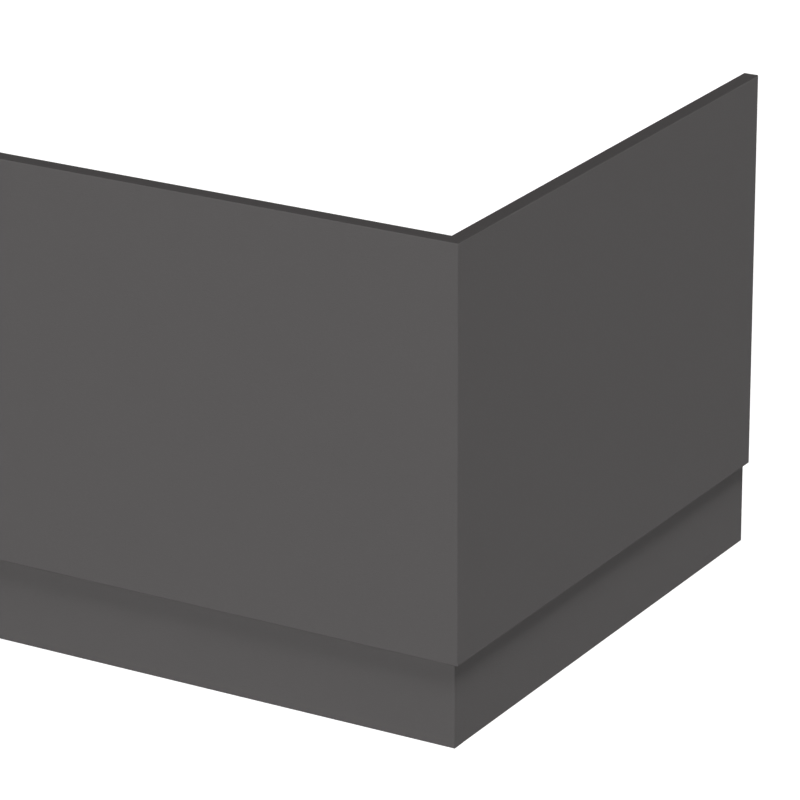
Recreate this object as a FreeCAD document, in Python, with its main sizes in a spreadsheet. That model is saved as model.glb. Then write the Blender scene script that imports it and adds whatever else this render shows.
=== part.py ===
import FreeCAD
import Part
import Sketcher
import math
import os

# Bath panel set: a front panel and an end panel that meet at the outer corner of a bath,
# each above a plinth board that is let into a rebate in its back. Frame: X along the front, Y from
# the front face to the wall behind, Z up from the floor, origin at the middle of the footprint.

doc = FreeCAD.newDocument("bath_panel")
sizes = doc.addObject("Spreadsheet::Sheet", "Sizes")

driving = [
    ("bath_length", "1700", "length of the bath that the set closes in"),
    ("bath_width", "700", "width of that bath"),
    ("rim_overhang", "10", "rim of the bath beyond the panels"),
    ("panel_height", "475", "height of both panels"),
    ("panel_board", "18", "thickness of the panel boards"),
    ("plinth_shows", "100", "floor to the lower edge of the panels"),
    ("plinth_lap", "50", "height of each plinth that is behind its panel"),
    ("plinth_board", "18", "thickness of the plinth boards"),
    ("rebate_depth", "10", "depth that the plinths are let into the panels"),
    ("wrap_radius", "1.5", "rounding of the wrapped panel edges"),
    ("plinth_radius", "0.6", "easing of the plinth edges"),
    ("slot_width", "6", "width of the slots that the plinths slide on"),
    ("slot_length", "30", "height of those slots, end to end"),
    ("slot_inset", "110", "end of a plinth to the middle of its first slot"),
    ("leg", "40", "leg length of the corner brackets"),
    ("strip", "20", "width of the bracket strip"),
    ("gauge", "2", "thickness of the bracket strip"),
    ("bend", "3.5", "outer bend radius of the brackets"),
    ("corner_radius", "3", "rounding of the bracket ends"),
    ("screw_hole", "4.2", "screw holes in the brackets"),
    ("hole_first", "14", "bend to the first screw hole"),
    ("hole_pitch", "17", "first to second screw hole"),
    ("bracket_inset", "50", "panel edge or rebate to the middle of a bracket"),
]
for row, (alias, value, note) in enumerate(driving, start=1):
    sizes.set("A%d" % row, note)
    sizes.set("B%d" % row, value)
    sizes.setAlias("B%d" % row, alias)

derived = [
    ("front_length", "=bath_length - rim_overhang", "length of the front panel"),
    ("end_length", "=bath_width - rim_overhang - panel_board", "length of the end panel"),
    ("plinth_setback", "=panel_board - rebate_depth", "face of a panel to the face of its plinth"),
    ("front_plinth_length", "=front_length - plinth_setback", "length of the front plinth"),
    ("end_plinth_length", "=end_length + rebate_depth - plinth_board", "length of the end plinth"),
    ("plinth_height", "=plinth_shows + plinth_lap", "height of both plinth boards"),
    ("slot_middle", "=plinth_shows + plinth_lap / 2", "middle of the slots above the floor"),
    ("slot_half", "=(slot_length - slot_width) / 2", "middle of a slot to the centre of its end"),
    ("rebate_height", "=plinth_lap + slot_half", "height of the rebates, with room to raise a plinth"),
    ("front_y", "=-(panel_board + end_length) / 2", "front face of the front panel"),
    ("right_x", "=front_length / 2", "outer face of the end panel"),
]
for row, (alias, value, note) in enumerate(derived, start=len(driving) + 2):
    sizes.set("A%d" % row, note)
    sizes.set("B%d" % row, value)
    sizes.setAlias("B%d" % row, alias)
doc.recompute()


def origin_item(body, role):
    for item in body.Origin.OriginFeatures:
        if item.Role == role:
            return item
    raise RuntimeError("no " + role)


def new_body(label, place):
    body = doc.addObject("PartDesign::Body", label)
    body.Label = label
    for axis, rule in zip("xyz", place):
        body.setExpression("Placement.Base." + axis, rule)
    return body


def new_sketch(body, name, role):
    sketch = body.newObject("Sketcher::SketchObject", name)
    sketch.AttachmentSupport = [(origin_item(body, role), "")]
    sketch.MapMode = "FlatFace"
    return sketch


def pad_up(body, sketch, name, rule):
    pad = body.newObject("PartDesign::Pad", name)
    pad.Profile = sketch
    pad.setExpression("Length", rule)
    sketch.Visibility = False
    doc.recompute()
    return pad


def edge_names(feature, keep):
    names = []
    for number, edge in enumerate(feature.Shape.Edges, start=1):
        if keep([vertex.Point for vertex in edge.Vertexes]):
            names.append("Edge%d" % number)
    return names


def round_edges(body, base, name, keep, rule):
    fillet = body.newObject("PartDesign::Fillet", name)
    fillet.Base = (base, edge_names(base, keep))
    fillet.setExpression("Radius", rule)
    doc.recompute()
    return fillet


def near(value, target):
    return abs(value - target) < 1e-4


def size(alias):
    return float(sizes.get(alias))


def set_out(sketch, measured):
    for rule, value in measured:
        number = sketch.addConstraint(Sketcher.Constraint(*rule))
        sketch.setExpression("Constraints[%d]" % number, value)


# A rectangle with its first corner on the origin, or further up the sketch where a lift is given.
def rectangle(sketch, x_rule, y_rule, lift_rule=None):
    corners = [(0, 0), (100, 0), (100, 10), (0, 10)]
    for start, end in zip(corners, corners[1:] + corners[:1]):
        first = FreeCAD.Vector(start[0], start[1], 0)
        second = FreeCAD.Vector(end[0], end[1], 0)
        sketch.addGeometry(Part.LineSegment(first, second), False)
    for side in range(4):
        sketch.addConstraint(Sketcher.Constraint("Coincident", side, 2, (side + 1) % 4, 1))
    for side in (0, 2):
        sketch.addConstraint(Sketcher.Constraint("Horizontal", side))
    for side in (1, 3):
        sketch.addConstraint(Sketcher.Constraint("Vertical", side))
    measured = [
        (("DistanceX", 0, 1, 0, 2, 100), x_rule),
        (("DistanceY", 1, 1, 1, 2, 10), y_rule),
    ]
    if lift_rule:
        sketch.addConstraint(Sketcher.Constraint("PointOnObject", 0, 1, -2))
        measured.append((("DistanceY", -1, 1, 0, 1, 10), lift_rule))
    else:
        sketch.addConstraint(Sketcher.Constraint("Coincident", 0, 1, -1, 1))
    set_out(sketch, measured)


# A board is its rectangle on the floor, padded up to its height.
def board(label, place, x_rule, y_rule, z_rule):
    body = new_body(label, place)
    sketch = new_sketch(body, label + "_footprint", "XY_Plane")
    rectangle(sketch, x_rule, y_rule)
    return body, pad_up(body, sketch, label + "_board", z_rule)


# A cut goes right through the body, or up from the sketch where a height is given.
def cut(body, sketch, name, height_rule=None):
    before = body.Shape.Volume
    pocket = body.newObject("PartDesign::Pocket", name)
    pocket.Profile = sketch
    if height_rule:
        pocket.Reversed = True
        pocket.setExpression("Length", height_rule)
    else:
        pocket.Type = "ThroughAll"
        pocket.Midplane = True
    sketch.Visibility = False
    doc.recompute()
    if body.Shape.Volume > before - 1:
        raise RuntimeError("nothing cut: " + name)
    return pocket


# The rebate in the lower back of a panel is open at the lower edge.
def rebate(body, x_rule, y_rule, lift_rule=None):
    sketch = new_sketch(body, body.Label + "_rebate_plan", "XY_Plane")
    rectangle(sketch, x_rule, y_rule, lift_rule)
    cut(body, sketch, body.Label + "_rebate", "Sizes.rebate_height")


# Upright slots in the lap of a plinth, in a row from end to end, so that it can be set to the
# height of the bath before its screws are tightened into the back of the panel.
def slot_row(body, label, plane, along, length_rule, copies):
    sketch = new_sketch(body, label + "_slot", plane)
    inset = size("slot_inset")
    half = size("slot_width") / 2
    top = size("slot_middle") + size("slot_half")
    foot = size("slot_middle") - size("slot_half")
    up = FreeCAD.Vector(0, 0, 1)
    upper = Part.Circle(FreeCAD.Vector(inset, top, 0), up, half)
    lower = Part.Circle(FreeCAD.Vector(inset, foot, 0), up, half)
    outline = [
        Part.LineSegment(FreeCAD.Vector(inset - half, foot, 0), FreeCAD.Vector(inset - half, top, 0)),
        Part.ArcOfCircle(upper, 0, math.pi),
        Part.LineSegment(FreeCAD.Vector(inset + half, top, 0), FreeCAD.Vector(inset + half, foot, 0)),
        Part.ArcOfCircle(lower, math.pi, 2 * math.pi),
    ]
    for piece in outline:
        sketch.addGeometry(piece, False)
    rules = [
        ("Tangent", 0, 2, 1, 2),
        ("Tangent", 1, 1, 2, 1),
        ("Tangent", 2, 2, 3, 2),
        ("Tangent", 3, 1, 0, 1),
        ("Vertical", 0),
    ]
    for rule in rules:
        sketch.addConstraint(Sketcher.Constraint(*rule))
    measured = [
        (("Radius", 1, half), "Sizes.slot_width / 2"),
        (("DistanceX", -1, 1, 1, 3, inset), "Sizes.slot_inset"),
        (("DistanceY", -1, 1, 1, 3, top), "Sizes.slot_middle + Sizes.slot_half"),
        (("DistanceY", -1, 1, 3, 3, foot), "Sizes.slot_middle - Sizes.slot_half"),
    ]
    set_out(sketch, measured)
    first = cut(body, sketch, label + "_first_slot")
    row = body.newObject("PartDesign::LinearPattern", label + "_slots")
    row.Originals = [first]
    row.Direction = (origin_item(body, along), [""])
    row.Mode = "Extent"
    row.setExpression("Length", length_rule + " - 2 * Sizes.slot_inset")
    row.Occurrences = copies
    body.Tip = row
    doc.recompute()


# Inner corners of the panels and of the plinths: the end boards start there and the brackets sit there.
panel_corner = ("Sizes.right_x - Sizes.panel_board", "Sizes.front_y + Sizes.panel_board")
plinth_corner = (
    "Sizes.right_x - Sizes.plinth_setback - Sizes.plinth_board",
    "Sizes.front_y + Sizes.plinth_setback + Sizes.plinth_board",
)

# Front panel: runs through to the outer corner, so that its end shows on the end side and is rounded
# as its face is. Its rebate stops short of that end.
front_panel, blank = board(
    "front_panel",
    ("-Sizes.right_x", "Sizes.front_y", "Sizes.plinth_shows"),
    "Sizes.front_length", "Sizes.panel_board", "Sizes.panel_height",
)
outer_end = size("front_length")
round_edges(
    front_panel, blank, "front_panel_wrap",
    lambda points: all(near(point.y, 0) for point in points)
    or (all(near(point.x, outer_end) for point in points) and any(near(point.y, 0) for point in points)),
    "Sizes.wrap_radius",
)
rebate(front_panel, "Sizes.front_plinth_length", "Sizes.rebate_depth", "Sizes.plinth_setback")

# End panel: butts against the back of the front panel, where its face is left square.
end_panel, blank = board(
    "end_panel",
    panel_corner + ("Sizes.plinth_shows",),
    "Sizes.panel_board", "Sizes.end_length", "Sizes.panel_height",
)
thickness = size("panel_board")
far_end = size("end_length")
round_edges(
    end_panel, blank, "end_panel_wrap",
    lambda points: all(near(point.x, thickness) for point in points)
    and any(near(point.y, far_end) for point in points),
    "Sizes.wrap_radius",
)
rebate(end_panel, "Sizes.rebate_depth", "Sizes.end_length")

# Front plinth: fills the length of the front panel's rebate.
front_plinth, blank = board(
    "front_plinth",
    ("-Sizes.right_x", "Sizes.front_y + Sizes.plinth_setback", "0"),
    "Sizes.front_plinth_length", "Sizes.plinth_board", "Sizes.plinth_height",
)
round_edges(
    front_plinth, blank, "front_plinth_easing",
    lambda points: all(near(point.y, 0) for point in points),
    "Sizes.plinth_radius",
)
slot_row(front_plinth, "front_plinth", "XZ_Plane", "X_Axis", "Sizes.front_plinth_length", 5)

# End plinth: butts against the back of the front plinth and ends flush with the end panel.
end_plinth, blank = board(
    "end_plinth",
    plinth_corner + ("0",),
    "Sizes.plinth_board", "Sizes.end_plinth_length", "Sizes.plinth_height",
)
thickness = size("plinth_board")
far_end = size("end_plinth_length")
round_edges(
    end_plinth, blank, "end_plinth_easing",
    lambda points: all(near(point.x, thickness) for point in points)
    and any(near(point.y, far_end) for point in points),
    "Sizes.plinth_radius",
)
slot_row(end_plinth, "end_plinth", "YZ_Plane", "Y_Axis", "Sizes.end_plinth_length", 3)


# Corner bracket: a steel strip bent to a right angle, one leg on the back of each board.
def bracket(label, place):
    body = new_body(label, place)
    profile = new_sketch(body, label + "_profile", "XY_Plane")
    leg = size("leg")
    gauge = size("gauge")
    bend = size("bend")
    centre = FreeCAD.Vector(-bend, bend, 0)
    up = FreeCAD.Vector(0, 0, 1)
    turn = 1.5 * math.pi
    outline = [
        Part.LineSegment(FreeCAD.Vector(-leg, 0, 0), FreeCAD.Vector(-bend, 0, 0)),
        Part.ArcOfCircle(Part.Circle(centre, up, bend), turn, 2 * math.pi),
        Part.LineSegment(FreeCAD.Vector(0, bend, 0), FreeCAD.Vector(0, leg, 0)),
        Part.LineSegment(FreeCAD.Vector(0, leg, 0), FreeCAD.Vector(-gauge, leg, 0)),
        Part.LineSegment(FreeCAD.Vector(-gauge, leg, 0), FreeCAD.Vector(-gauge, bend, 0)),
        Part.ArcOfCircle(Part.Circle(centre, up, bend - gauge), turn, 2 * math.pi),
        Part.LineSegment(FreeCAD.Vector(-bend, gauge, 0), FreeCAD.Vector(-leg, gauge, 0)),
        Part.LineSegment(FreeCAD.Vector(-leg, gauge, 0), FreeCAD.Vector(-leg, 0, 0)),
    ]
    for piece in outline:
        profile.addGeometry(piece, False)
    rules = [
        ("Tangent", 0, 2, 1, 1),
        ("Tangent", 1, 2, 2, 1),
        ("Coincident", 2, 2, 3, 1),
        ("Coincident", 3, 2, 4, 1),
        ("Tangent", 4, 2, 5, 2),
        ("Tangent", 5, 1, 6, 1),
        ("Coincident", 6, 2, 7, 1),
        ("Coincident", 7, 2, 0, 1),
        ("Coincident", 1, 3, 5, 3),
        ("Horizontal", 0),
        ("Vertical", 2),
        ("Horizontal", 3),
        ("Vertical", 7),
        ("PointOnObject", 0, 1, -1),
        ("PointOnObject", 2, 1, -2),
    ]
    for rule in rules:
        profile.addConstraint(Sketcher.Constraint(*rule))
    measured = [
        (("DistanceX", 0, 1, -1, 1, leg), "Sizes.leg"),
        (("DistanceY", -1, 1, 2, 2, leg), "Sizes.leg"),
        (("Radius", 1, bend), "Sizes.bend"),
        (("DistanceX", 3, 2, 3, 1, gauge), "Sizes.gauge"),
    ]
    set_out(profile, measured)
    pad = pad_up(body, profile, label + "_strip", "Sizes.strip")
    rounded = round_edges(
        body, pad, label + "_ends",
        lambda points: near(points[0].z, points[-1].z)
        and (all(near(point.x, -leg) for point in points) or all(near(point.y, leg) for point in points)),
        "Sizes.corner_radius",
    )
    body.Tip = rounded
    for role, sign in (("XZ_Plane", -1), ("YZ_Plane", 1)):
        holes = new_sketch(body, label + "_holes_" + role[:2], role)
        for count in (0, 1):
            reach = sign * (size("hole_first") + count * size("hole_pitch"))
            spot = FreeCAD.Vector(reach, size("strip") / 2, 0)
            number = holes.addGeometry(Part.Circle(spot, up, size("screw_hole") / 2), False)
            from_bend = ("DistanceX", -1, 1, number, 3, reach)
            if sign < 0:
                from_bend = ("DistanceX", number, 3, -1, 1, -reach)
            measured = [
                (("Diameter", number, size("screw_hole")), "Sizes.screw_hole"),
                (from_bend, "Sizes.hole_first + %d * Sizes.hole_pitch" % count),
                (("DistanceY", -1, 1, number, 3, spot.y), "Sizes.strip / 2"),
            ]
            set_out(holes, measured)
        cut(body, holes, label + "_cut_" + role[:2])
    return body


bracket_upper = bracket(
    "bracket_upper",
    panel_corner + ("Sizes.plinth_shows + Sizes.panel_height - Sizes.bracket_inset - Sizes.strip / 2",),
)
bracket_lower = bracket(
    "bracket_lower",
    panel_corner
    + ("Sizes.plinth_shows + Sizes.rebate_height + Sizes.bracket_inset - Sizes.strip / 2",),
)
bracket_plinth = bracket(
    "bracket_plinth",
    plinth_corner + ("Sizes.plinth_height / 2 - Sizes.strip / 2",),
)

pieces = [
    front_panel, end_panel, front_plinth, end_plinth,
    bracket_upper, bracket_lower, bracket_plinth,
]
doc.recompute()
for item in doc.Objects:
    if "Invalid" in item.State or "Error" in item.State:
        raise RuntimeError("failed: " + item.Label)
for body in pieces:
    if body.Shape.isNull() or not body.Shape.isValid():
        raise RuntimeError("bad shape: " + body.Label)
    if len(body.Shape.Solids) != 1:
        raise RuntimeError("not one solid: " + body.Label)

os.makedirs("parts", exist_ok=True)
for body in pieces:
    body.Shape.exportStep("parts/%s.step" % body.Label)
    box = body.Shape.BoundBox
    print(
        "%-14s x %8.2f %8.2f  y %8.2f %8.2f  z %8.2f %8.2f  volume %.0f"
        % (body.Label, box.XMin, box.XMax, box.YMin, box.YMax, box.ZMin, box.ZMax, body.Shape.Volume)
    )
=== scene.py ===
import math

import bmesh
import bpy
from mathutils import Euler, Matrix, Vector


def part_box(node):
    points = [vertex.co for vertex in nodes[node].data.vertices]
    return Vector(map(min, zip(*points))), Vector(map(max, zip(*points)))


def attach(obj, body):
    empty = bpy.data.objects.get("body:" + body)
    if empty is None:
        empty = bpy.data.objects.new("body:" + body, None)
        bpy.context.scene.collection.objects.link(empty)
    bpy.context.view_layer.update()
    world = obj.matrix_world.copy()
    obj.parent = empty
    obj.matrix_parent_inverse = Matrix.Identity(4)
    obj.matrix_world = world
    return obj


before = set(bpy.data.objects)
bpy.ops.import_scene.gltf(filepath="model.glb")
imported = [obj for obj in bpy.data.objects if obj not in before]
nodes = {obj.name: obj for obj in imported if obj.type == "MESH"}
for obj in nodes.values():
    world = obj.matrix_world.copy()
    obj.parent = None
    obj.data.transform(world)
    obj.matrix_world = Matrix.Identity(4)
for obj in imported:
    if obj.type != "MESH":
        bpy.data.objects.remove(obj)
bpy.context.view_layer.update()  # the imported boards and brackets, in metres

scene = bpy.context.scene
mm = 0.001  # metres in a millimetre
print("loaded", sorted(nodes))


def hexToLinear(code):
    parts = [int(code[i:i + 2], 16) / 255 for i in (1, 3, 5)]
    # the sRGB curve, straight near black
    linear = [p / 12.92 if p <= 0.04045 else ((p + 0.055) / 1.055) ** 2.4 for p in parts]
    return (*linear, 1.0)


def addNode(tree, kind, settings=None, values=None, links=None):
    node = tree.nodes.new(kind)
    for name, value in (settings or {}).items():
        setattr(node, name, value)
    for socket, value in (values or {}).items():
        node.inputs[socket].default_value = value
    for socket, source in (links or {}).items():
        tree.links.new(source, node.inputs[socket])
    return node


def newMaterial(name):
    material = bpy.data.materials.new(name)
    material.use_nodes = True
    tree = material.node_tree
    tree.nodes.clear()
    return material, tree


def perMetre(millimetres):
    return 1000.0 / millimetres


# Matt PVC foil pressed round the board: dark warm grey, almost no shine, a very fine pebble grain
foil = {
    "face": ("#595757", "#5c5a5a"),  # low and high of the grain
    "edge": ("#424040", "#454343"),  # painted shade: a darker tone of the foil for the faces that point up or down
    "grainMm": 1.4,  # the real pebble is about 0.3 mm, drawn coarser so that it shows at all
    "grainDepthMm": 0.2,
    "cloudMm": 160,
    "roughness": (0.72, 0.80),
    "specular": 0.01,
}


def makeFoil(name, tones):
    material, tree = newMaterial(name)
    place = addNode(tree, "ShaderNodeTexCoord")
    grain = addNode(tree, "ShaderNodeTexNoise",
                    values={"Scale": perMetre(foil["grainMm"]), "Detail": 2.0, "Roughness": 0.5},
                    links={"Vector": place.outputs["Object"]})
    cloud = addNode(tree, "ShaderNodeTexNoise",
                    values={"Scale": perMetre(foil["cloudMm"]), "Detail": 3.0},
                    links={"Vector": place.outputs["Object"]})
    tone = addNode(tree, "ShaderNodeMix", {"data_type": "RGBA"},
                   {6: hexToLinear(tones[0]), 7: hexToLinear(tones[1])},
                   {0: grain.outputs["Fac"]})
    shine = addNode(tree, "ShaderNodeMapRange",
                    values={"To Min": foil["roughness"][0], "To Max": foil["roughness"][1]},
                    links={"Value": cloud.outputs["Fac"]})
    bump = addNode(tree, "ShaderNodeBump",
                   values={"Strength": 1.0, "Distance": foil["grainDepthMm"] * mm},
                   links={"Height": grain.outputs["Fac"]})
    surface = addNode(tree, "ShaderNodeBsdfPrincipled",
                      values={"Specular IOR Level": foil["specular"]},
                      links={"Base Color": tone.outputs[2], "Roughness": shine.outputs["Result"],
                             "Normal": bump.outputs["Normal"]})
    addNode(tree, "ShaderNodeOutputMaterial", links={"Surface": surface.outputs["BSDF"]})
    return material


# Melamine paper on the back of the boards: off-white, smooth, faintly cloudy from the pressing
backing = {
    "colour": "#d3d1cb",
    "colourLow": "#c8c6c0",
    "cloudMm": 35,
    "speckMm": 1.6,
    "speckDepthMm": 0.01,
    "roughness": 0.5,
    "specular": 0.3,
}


def makeBacking():
    material, tree = newMaterial("melamine_backing")
    place = addNode(tree, "ShaderNodeTexCoord")
    cloud = addNode(tree, "ShaderNodeTexNoise",
                    values={"Scale": perMetre(backing["cloudMm"]), "Detail": 4.0, "Roughness": 0.6},
                    links={"Vector": place.outputs["Object"]})
    speck = addNode(tree, "ShaderNodeTexNoise",
                    values={"Scale": perMetre(backing["speckMm"]), "Detail": 1.0},
                    links={"Vector": place.outputs["Object"]})
    tone = addNode(tree, "ShaderNodeMix", {"data_type": "RGBA"},
                   {6: hexToLinear(backing["colourLow"]), 7: hexToLinear(backing["colour"])},
                   {0: cloud.outputs["Fac"]})
    bump = addNode(tree, "ShaderNodeBump",
                   values={"Strength": 0.3, "Distance": backing["speckDepthMm"] * mm},
                   links={"Height": speck.outputs["Fac"]})
    surface = addNode(tree, "ShaderNodeBsdfPrincipled",
                      values={"Roughness": backing["roughness"], "Specular IOR Level": backing["specular"]},
                      links={"Base Color": tone.outputs[2], "Normal": bump.outputs["Normal"]})
    addNode(tree, "ShaderNodeOutputMaterial", links={"Surface": surface.outputs["BSDF"]})
    return material


# Cut fibreboard in the slots and rebates: tan, dry, speckled with darker fibres
core = {
    "colour": "#b08d62",
    "fibre": "#8a6a45",
    "fibreMm": 0.9,
    "fibreDepthMm": 0.2,
    "roughness": 0.9,
    "specular": 0.1,
}


def makeCore():
    material, tree = newMaterial("cut_fibreboard")
    place = addNode(tree, "ShaderNodeTexCoord")
    fibres = addNode(tree, "ShaderNodeTexNoise",
                     values={"Scale": perMetre(core["fibreMm"]), "Detail": 3.0, "Roughness": 0.7},
                     links={"Vector": place.outputs["Object"]})
    tone = addNode(tree, "ShaderNodeMix", {"data_type": "RGBA"},
                   {6: hexToLinear(core["fibre"]), 7: hexToLinear(core["colour"])},
                   {0: fibres.outputs["Fac"]})
    bump = addNode(tree, "ShaderNodeBump",
                   values={"Strength": 0.6, "Distance": core["fibreDepthMm"] * mm},
                   links={"Height": fibres.outputs["Fac"]})
    surface = addNode(tree, "ShaderNodeBsdfPrincipled",
                      values={"Roughness": core["roughness"], "Specular IOR Level": core["specular"]},
                      links={"Base Color": tone.outputs[2], "Normal": bump.outputs["Normal"]})
    addNode(tree, "ShaderNodeOutputMaterial", links={"Surface": surface.outputs["BSDF"]})
    return material


# Bright zinc plating on rolled strip: cool grey metal with short drawn streaks and a soft shine
zinc = {
    "colour": "#b9bdc1",
    "colourLow": "#a3a8ad",
    "streakMm": 0.7,
    "streakDepthMm": 0.01,
    "stretch": 14.0,  # how much longer than wide the streaks are
    "roughness": (0.28, 0.42),
}


def makeZinc():
    material, tree = newMaterial("bright_zinc_plate")
    place = addNode(tree, "ShaderNodeTexCoord")
    drawn = addNode(tree, "ShaderNodeMapping", values={"Scale": (1.0, 1.0, zinc["stretch"])},
                    links={"Vector": place.outputs["Object"]})
    streak = addNode(tree, "ShaderNodeTexNoise",
                     values={"Scale": perMetre(zinc["streakMm"]) / zinc["stretch"], "Detail": 3.0},
                     links={"Vector": drawn.outputs["Vector"]})
    tone = addNode(tree, "ShaderNodeMix", {"data_type": "RGBA"},
                   {6: hexToLinear(zinc["colourLow"]), 7: hexToLinear(zinc["colour"])},
                   {0: streak.outputs["Fac"]})
    shine = addNode(tree, "ShaderNodeMapRange",
                    values={"To Min": zinc["roughness"][0], "To Max": zinc["roughness"][1]},
                    links={"Value": streak.outputs["Fac"]})
    bump = addNode(tree, "ShaderNodeBump",
                   values={"Strength": 0.2, "Distance": zinc["streakDepthMm"] * mm},
                   links={"Height": streak.outputs["Fac"]})
    surface = addNode(tree, "ShaderNodeBsdfPrincipled", values={"Metallic": 1.0},
                      links={"Base Color": tone.outputs[2], "Roughness": shine.outputs["Result"],
                             "Normal": bump.outputs["Normal"]})
    addNode(tree, "ShaderNodeOutputMaterial", links={"Surface": surface.outputs["BSDF"]})
    return material


boardSkins = {
    "foil": makeFoil("matt_pvc_foil", foil["face"]),
    # the darker skin of the edges that point up or down is painted shade
    "painted_shade_edge": makeFoil("matt_pvc_foil_painted_shade", foil["edge"]),
    "backing": makeBacking(),
    "core": makeCore(),
}
zincMaterial = makeZinc()
print("materials made")

# Boards: foil on the face and ends, a darker tone painted on the long edges as painted shade, backing
# behind, bare core where cut
boards = {
    "backWay": {
        "front_panel": Vector((0, 1, 0)),
        "end_panel": Vector((-1, 0, 0)),
        "front_plinth": Vector((0, 1, 0)),
        "end_plinth": Vector((-1, 0, 0)),
    },
    "skinMm": 1.2,  # a face that lies deeper than this was cut into the board
    "backTurn": 0.99,  # how squarely a face points back to count as the back
    "edgeTurn": 0.5,  # how far a face of the rounded rim points up or down to take the painted shade of the edges
}


def skinOf(face, low, high, backWay):
    middle = face.center
    skin = boards["skinMm"] * mm
    backPlane = max(backWay.dot(low), backWay.dot(high))
    if face.normal.dot(backWay) > boards["backTurn"] and backPlane - backWay.dot(middle) < skin:
        return "backing"
    if min(min(middle[i] - low[i], high[i] - middle[i]) for i in range(3)) > skin:
        return "core"
    # faces that point up or down take the darker tone: painted shade
    if abs(face.normal.z) > boards["edgeTurn"]:
        return "painted_shade_edge"
    return "foil"


def dressBoard(name, backWay):
    mesh = nodes[name].data
    low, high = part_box(name)
    mesh.materials.clear()
    for material in boardSkins.values():
        mesh.materials.append(material)
    skinNames = list(boardSkins)
    for face in mesh.polygons:
        face.material_index = skinNames.index(skinOf(face, low, high, backWay))


for name, backWay in boards["backWay"].items():
    dressBoard(name, backWay)
brackets = ["bracket_upper", "bracket_lower", "bracket_plinth"]
for name in brackets:
    nodes[name].data.materials.clear()
    nodes[name].data.materials.append(zincMaterial)
print("boards and brackets dressed")

# Pan-head screws: a low crown with a cross recess, on a washer where they hold a slot
screw = {
    "headMm": 7.6,
    "headHighMm": 2.6,
    "skirt": 0.34,  # share of the head's height that stands straight
    "crownSteps": 6,
    "shankMm": 3.9,
    "recessMm": (4.4, 1.0, 1.5),  # length, width and depth of each arm
    "segments": 32,
}
washer = {
    "acrossMm": 16.0,
    "thickMm": 1.4,
    "rimMm": 0.25,  # how far its outer corners are eased
    "playMm": 0.2,  # room round the shank
}


def lathe(mesh, profile, segments):
    turns = [2 * math.pi * k / segments for k in range(segments)]
    rings = []
    for radius, height in profile:
        around = turns if radius else turns[:1]  # a point on the axis is a single corner
        rings.append([mesh.verts.new((radius * math.cos(t), radius * math.sin(t), height)) for t in around])
    for first, second in zip(rings, rings[1:]):
        for k in range(segments):
            corners = [first[k % len(first)], first[(k + 1) % len(first)],
                       second[(k + 1) % len(second)], second[k % len(second)]]
            face = list(dict.fromkeys(corners))
            if len(face) > 2:
                mesh.faces.new(face)


def meshObject(name, mesh):
    bmesh.ops.recalc_face_normals(mesh, faces=mesh.faces)
    data = bpy.data.meshes.new(name)
    mesh.to_mesh(data)
    mesh.free()
    piece = bpy.data.objects.new(name, data)
    scene.collection.objects.link(piece)
    return piece


def finishedMesh(piece):
    bpy.context.view_layer.update()
    return bpy.data.meshes.new_from_object(piece.evaluated_get(bpy.context.evaluated_depsgraph_get()))


def screwProfile(shankLong, seat):
    head = screw["headMm"] / 2 * mm
    high = screw["headHighMm"] * mm
    shank = screw["shankMm"] / 2 * mm
    profile = [(0, seat + high)]
    for k in range(1, screw["crownSteps"] + 1):  # a flat dome down to a short straight skirt
        angle = k / screw["crownSteps"] * math.pi / 2
        rise = screw["skirt"] + (1 - screw["skirt"]) * math.cos(angle)
        profile.append((head * math.sin(angle), seat + high * rise))
    return profile + [(head, seat), (shank, seat), (shank, -shankLong), (0, -shankLong)]


def recessCutter(name, top):
    mesh = bmesh.new()
    long, wide, deep = (size * mm for size in screw["recessMm"])
    for across in ((long, wide), (wide, long)):
        made = bmesh.ops.create_cube(mesh, size=1.0)["verts"]
        bmesh.ops.scale(mesh, vec=(*across, 2 * deep), verts=made)
        bmesh.ops.translate(mesh, vec=(0, 0, top), verts=made)
    return meshObject(name, mesh)


def addWasher(mesh):
    ring, thick = washer["acrossMm"] / 2 * mm, washer["thickMm"] * mm
    rim = washer["rimMm"] * mm
    hole = (screw["shankMm"] / 2 + washer["playMm"]) * mm
    lathe(mesh, [(hole, 0), (ring - rim, 0), (ring, rim), (ring, thick - rim),
                 (ring - rim, thick), (hole, thick), (hole, 0)], screw["segments"])


def makeScrew(name, shankLong, onWasher):
    seat = washer["thickMm"] * mm if onWasher else 0.0
    mesh = bmesh.new()
    lathe(mesh, screwProfile(shankLong, seat), screw["segments"])
    body = meshObject(name, mesh)
    cutter = recessCutter(name + "_recess", seat + screw["headHighMm"] * mm)
    cut = body.modifiers.new("recess", "BOOLEAN")
    cut.operation = "DIFFERENCE"
    cut.solver = "EXACT"
    cut.use_self = True  # the two arms of the cutter cross
    cut.object = cutter
    mesh = bmesh.new()
    mesh.from_mesh(finishedMesh(body))
    bpy.data.objects.remove(body)
    bpy.data.objects.remove(cutter)
    if onWasher:
        addWasher(mesh)
    return meshObject(name, mesh)


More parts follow.
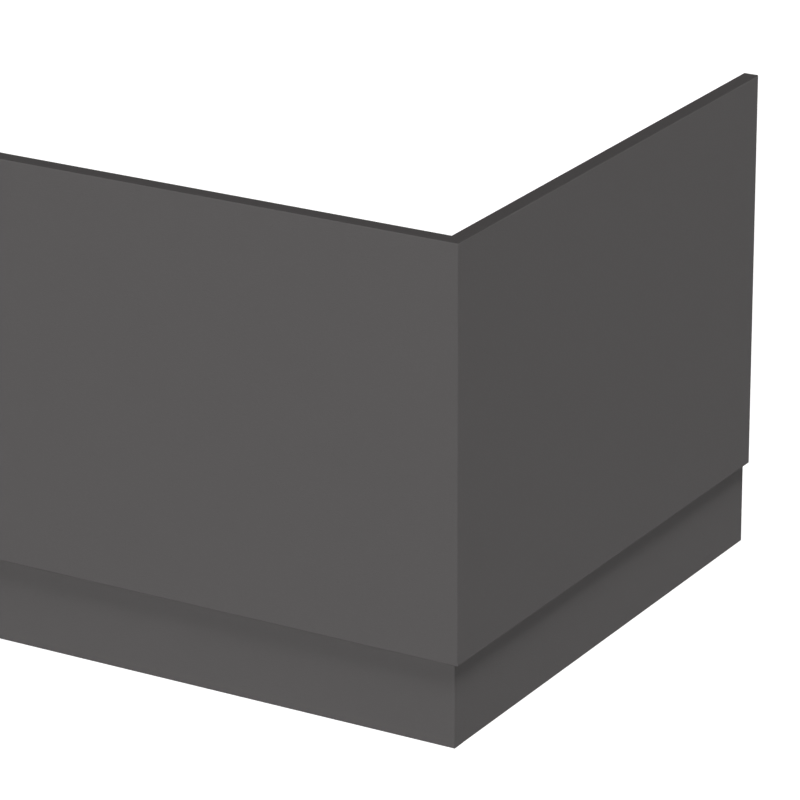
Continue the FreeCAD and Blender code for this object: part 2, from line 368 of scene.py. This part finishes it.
def screwTree():
    tree = bpy.data.node_groups.new("screwPlaces", "GeometryNodeTree")
    for label, kind in (("Places", "NodeSocketGeometry"), ("Screw", "NodeSocketObject"),
                        ("Size", "NodeSocketFloat"), ("Seed", "NodeSocketInt"),
                        ("Finish", "NodeSocketMaterial")):
        tree.interface.new_socket(label, in_out="INPUT", socket_type=kind)
    tree.interface.new_socket("Screws", in_out="OUTPUT", socket_type="NodeSocketGeometry")
    given = addNode(tree, "NodeGroupInput")
    shape = addNode(tree, "GeometryNodeObjectInfo", links={"Object": given.outputs["Screw"]})
    facing = addNode(tree, "GeometryNodeInputNamedAttribute",
                     {"data_type": "FLOAT_VECTOR"}, {"Name": "facing"})
    aim = addNode(tree, "FunctionNodeAlignRotationToVector", {"axis": "Z"},
                  links={"Vector": facing.outputs["Attribute"]})
    spin = addNode(tree, "FunctionNodeRandomValue", {"data_type": "FLOAT"}, {2: 0.0, 3: math.pi / 2},
                   {"Seed": given.outputs["Seed"]})  # no two recesses stand alike
    about = addNode(tree, "ShaderNodeCombineXYZ", links={"Z": spin.outputs[1]})
    turned = addNode(tree, "FunctionNodeEulerToRotation", links={"Euler": about.outputs["Vector"]})
    both = addNode(tree, "FunctionNodeRotateRotation", {"rotation_space": "LOCAL"},
                   links={"Rotation": aim.outputs["Rotation"], "Rotate By": turned.outputs["Rotation"]})
    placed = addNode(tree, "GeometryNodeInstanceOnPoints",
                     links={"Points": given.outputs["Places"], "Instance": shape.outputs["Geometry"],
                            "Rotation": both.outputs["Rotation"], "Scale": given.outputs["Size"]})
    real = addNode(tree, "GeometryNodeRealizeInstances", links={"Geometry": placed.outputs["Instances"]})
    coat = addNode(tree, "GeometryNodeSetMaterial",
                   links={"Geometry": real.outputs["Geometry"], "Material": given.outputs["Finish"]})
    addNode(tree, "NodeGroupOutput", links={"Screws": coat.outputs["Geometry"]})
    return tree


placeTree = screwTree()
inputIds = {item.name: item.identifier for item in placeTree.interface.items_tree if item.in_out == "INPUT"}


def placeScrews(name, spots, screwShape, seed):
    data = bpy.data.meshes.new(name)
    data.from_pydata([spot for spot, way in spots], [], [])
    ways = data.attributes.new("facing", "FLOAT_VECTOR", "POINT")
    for item, (spot, way) in zip(ways.data, spots):
        item.vector = way
    places = bpy.data.objects.new(name + "_places", data)
    scene.collection.objects.link(places)
    rule = places.modifiers.new("screws", "NODES")
    rule.node_group = placeTree
    for label, value in (("Screw", screwShape), ("Size", 1.0), ("Seed", seed), ("Finish", zincMaterial)):
        rule[inputIds[label]] = value
    plain = finishedMesh(places)
    places.modifiers.remove(rule)
    bpy.data.objects.remove(places)
    bpy.data.objects.remove(screwShape)
    plain.name = name
    piece = bpy.data.objects.new(name, plain)
    scene.collection.objects.link(piece)
    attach(piece, "root")
    print(name, len(spots), "screws")


# Screws in the upright slots of the plinths, evenly spread along each board
plinthScrews = {"shankLongMm": 17.8, "insetMm": 110, "middleMm": 125, "front": 5, "end": 3, "seed": 3}


def evenly(low, high, count):
    inset = plinthScrews["insetMm"] * mm
    step = (high - low - 2 * inset) / (count - 1)
    return [low + inset + k * step for k in range(count)]


def slotSpots():
    middle = plinthScrews["middleMm"] * mm
    spots = []
    low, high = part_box("front_plinth")
    for along in evenly(low.x, high.x, plinthScrews["front"]):
        spots.append(((along, high.y, middle), (0, 1, 0)))
    low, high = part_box("end_plinth")
    for along in evenly(low.y, high.y, plinthScrews["end"]):
        spots.append(((low.x, along, middle), (-1, 0, 0)))
    return spots


slotScrew = makeScrew("slot_screw", plinthScrews["shankLongMm"] * mm, onWasher=True)
placeScrews("plinth_screws", slotSpots(), slotScrew, plinthScrews["seed"])

# Screws in the holes of the corner brackets, two to a leg
bracketScrews = {"shankLongMm": 1.9, "fromBendMm": (14, 31), "gaugeMm": 2, "seed": 8}


def bracketSpots():
    gauge = bracketScrews["gaugeMm"] * mm
    spots = []
    for name in brackets:
        low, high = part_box(name)
        middle = (low.z + high.z) / 2
        for reach in bracketScrews["fromBendMm"]:
            spots.append(((high.x - reach * mm, low.y + gauge, middle), (0, 1, 0)))
            spots.append(((high.x - gauge, low.y + reach * mm, middle), (-1, 0, 0)))
    return spots


bracketScrew = makeScrew("bracket_screw", bracketScrews["shankLongMm"] * mm, onWasher=False)
placeScrews("bracket_screws", bracketSpots(), bracketScrew, bracketScrews["seed"])

# Stage: a pale floor that looks white to the camera and keeps a soft shadow
stage = {
    "floorHalf": 250.0,  # metres, so far that no glow comes up from under its rim
    "floorColour": "#e8e8e8",
    "floorLift": 0.36,  # glow that only the camera and mirrors see
    "horizonGlow": 5.9,  # the light walls of the studio, seen by the object only
    "glowReach": 0.09,  # sine of the height at which the glow has faded
}


def backgroundRays(tree):
    ray = addNode(tree, "ShaderNodeLightPath")
    some = addNode(tree, "ShaderNodeMath", {"operation": "MAXIMUM"},
                   links={0: ray.outputs["Is Camera Ray"], 1: ray.outputs["Is Glossy Ray"]})
    return addNode(tree, "ShaderNodeMath", {"operation": "MAXIMUM"},
                   links={0: some.outputs["Value"], 1: ray.outputs["Is Transmission Ray"]})


def makeFloor():
    mesh = bmesh.new()
    bmesh.ops.create_grid(mesh, x_segments=1, y_segments=1, size=stage["floorHalf"])
    floor = meshObject("floor", mesh)
    material, tree = newMaterial("white_sweep")
    seen = backgroundRays(tree)
    lift = addNode(tree, "ShaderNodeMath", {"operation": "MULTIPLY"}, {1: stage["floorLift"]},
                   {0: seen.outputs["Value"]})
    matt = addNode(tree, "ShaderNodeBsdfDiffuse", values={"Color": hexToLinear(stage["floorColour"])})
    glow = addNode(tree, "ShaderNodeEmission", links={"Strength": lift.outputs["Value"]})
    both = addNode(tree, "ShaderNodeAddShader", links={0: matt.outputs["BSDF"], 1: glow.outputs["Emission"]})
    addNode(tree, "ShaderNodeOutputMaterial", links={"Surface": both.outputs["Shader"]})
    floor.data.materials.append(material)


def makeWorld():
    world = bpy.data.worlds.new("studio")
    scene.world = world
    world.use_nodes = True
    tree = world.node_tree
    tree.nodes.clear()
    seen = backgroundRays(tree)
    way = addNode(tree, "ShaderNodeTexCoord")
    parts = addNode(tree, "ShaderNodeSeparateXYZ", links={"Vector": way.outputs["Generated"]})
    walls = addNode(tree, "ShaderNodeMapRange", {"interpolation_type": "SMOOTHSTEP"},
                    {"From Max": stage["glowReach"], "To Min": stage["horizonGlow"], "To Max": 0.0},
                    {"Value": parts.outputs["Z"]})
    level = addNode(tree, "ShaderNodeMix", {"data_type": "FLOAT"}, {3: 1.0},
                    {0: seen.outputs["Value"], 2: walls.outputs["Result"]})
    sky = addNode(tree, "ShaderNodeBackground", links={"Strength": level.outputs[0]})
    addNode(tree, "ShaderNodeOutputWorld", links={"Surface": sky.outputs["Background"]})


# Broad distant softboxes: compass angle, height and width in degrees
lamps = {
    "leftLow": {"compass": -30.0, "height": 2.5, "width": 6.0, "strength": 1.12},
    "overhead": {"compass": 56.5, "height": 71.5, "width": 18.0, "strength": 3.0},
    "rearLow": {"compass": 222.0, "height": 3.0, "width": 6.0, "strength": 1.0},
}


def makeLamps():
    for name, softbox in lamps.items():
        data = bpy.data.lights.new(name, "SUN")
        data.angle = math.radians(softbox["width"])
        data.energy = softbox["strength"]
        lamp = bpy.data.objects.new(name, data)
        lamp.visible_glossy = False  # the foil is matt: it mirrors no lamp
        lamp.rotation_euler = (math.radians(90 - softbox["height"]), 0, math.radians(softbox["compass"]))
        scene.collection.objects.link(lamp)


makeFloor()
makeWorld()
makeLamps()
scene.view_settings.view_transform = "Standard"
print("stage lit")

# Camera: a long lens at the photograph's viewing angle, tilted down on the corner
view = {
    "place": (3.1936, -4.4510, 2.1794),  # metres
    "turn": 30.499,  # degrees, as are tilt and roll
    "tilt": 20.582,
    "roll": -0.153,  # keeps the near corner upright in the picture
    "lensMm": 218.68,
    "sensorMm": 36.0,
    "farEnd": 100.0,  # metres
}


def makeCamera():
    data = bpy.data.cameras.new("camera")
    data.lens = view["lensMm"]
    data.sensor_width = view["sensorMm"]
    data.clip_end = view["farEnd"]
    camera = bpy.data.objects.new("camera", data)
    camera.location = view["place"]
    aim = Euler((math.radians(90 - view["tilt"]), 0, math.radians(view["turn"]))).to_matrix()
    camera.rotation_euler = (aim @ Matrix.Rotation(math.radians(view["roll"]), 3, "Z")).to_euler()
    scene.collection.objects.link(camera)
    scene.camera = camera


makeCamera()
